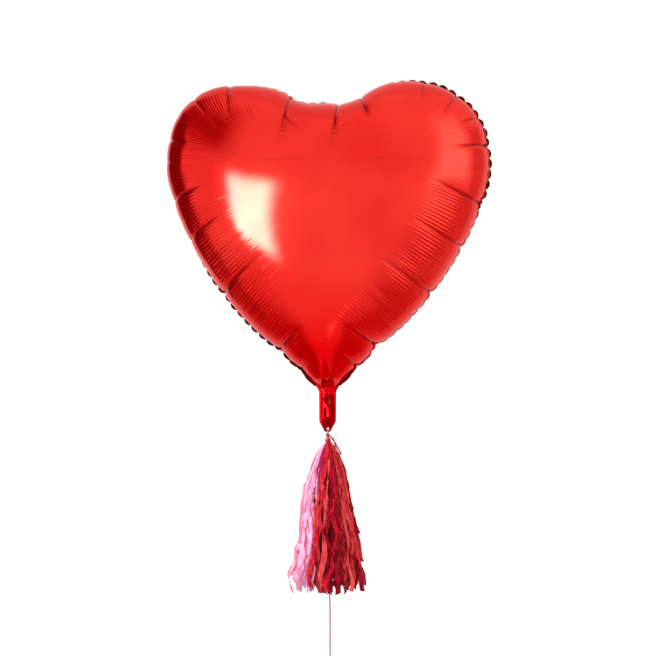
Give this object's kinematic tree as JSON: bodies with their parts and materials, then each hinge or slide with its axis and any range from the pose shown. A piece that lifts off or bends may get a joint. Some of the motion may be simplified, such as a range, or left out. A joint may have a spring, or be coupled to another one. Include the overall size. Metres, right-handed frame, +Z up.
{
  "type": "heart-shaped foil balloon",
  "caption": "Inflated heart-shaped red foil balloon with a pink and red tissue tassel, tied on a hanging curling ribbon with a hand loop.",
  "frame": {"origin": "the tie at the lower end of the balloon's tail, where the ribbon passes through the foil", "axes": "+Z up through the cleft of the heart, -Y out of the front face of the heart, +X to the right as seen from the front"},
  "size_m": [0.786, 0.3574, 1.4842],
  "materials": {
    "red_foil": "polished",
    "valve_film": "satin",
    "ribbon": "satin",
    "pale_pink_tissue": "matte",
    "pink_tissue": "matte",
    "magenta_tissue": "matte",
    "coral_tissue": "matte",
    "red_tissue": "matte",
    "dark_red_tissue": "matte"
  },
  "bodies": {
    "balloon": {"front_foil": "red_foil", "rear_foil": "red_foil", "front_valve_film": "valve_film", "rear_valve_film": "valve_film"},
    "loop": {"tie_loop": "ribbon"},
    "knot": {"ribbon_knot": "ribbon"},
    "ribbon": {"curled_end": "ribbon", "ribbon": "ribbon", "end_knot": "ribbon", "hand_loop": "ribbon"},
    "tassel": {"tassel_tie": "ribbon", "pink_twisted_top": "pink_tissue", "red_twisted_top": "red_tissue", "pale_pink_fringe": "pale_pink_tissue", "pink_fringe": "pink_tissue", "magenta_fringe": "magenta_tissue", "coral_fringe": "coral_tissue", "red_front_fringe": "red_tissue", "red_right_fringe": "red_tissue", "red_rear_fringe": "red_tissue", "dark_red_core_fringe": "dark_red_tissue"}
  },
  "joints": [
    {"name": "loop_swing", "type": "hinge", "parent": "balloon", "child": "loop", "pos_m": [0, 0, 0.0032], "axis": [1, 0, 0], "range_deg": [-30, 30]},
    {"name": "knot_twist", "type": "hinge", "parent": "loop", "child": "knot", "pos_m": [0, 0, -0.011], "axis": [0, 0, 1], "range_deg": [-90, 90]},
    {"name": "ribbon_sway", "type": "hinge", "parent": "knot", "child": "ribbon", "pos_m": [0, 0, -0.011], "axis": [0, 1, 0], "range_deg": [-20, 20]},
    {"name": "tassel_spin", "type": "hinge", "parent": "ribbon", "child": "tassel", "pos_m": [0, 0, -0.0185], "axis": [0, 0, 1], "continuous": true}
  ]
}
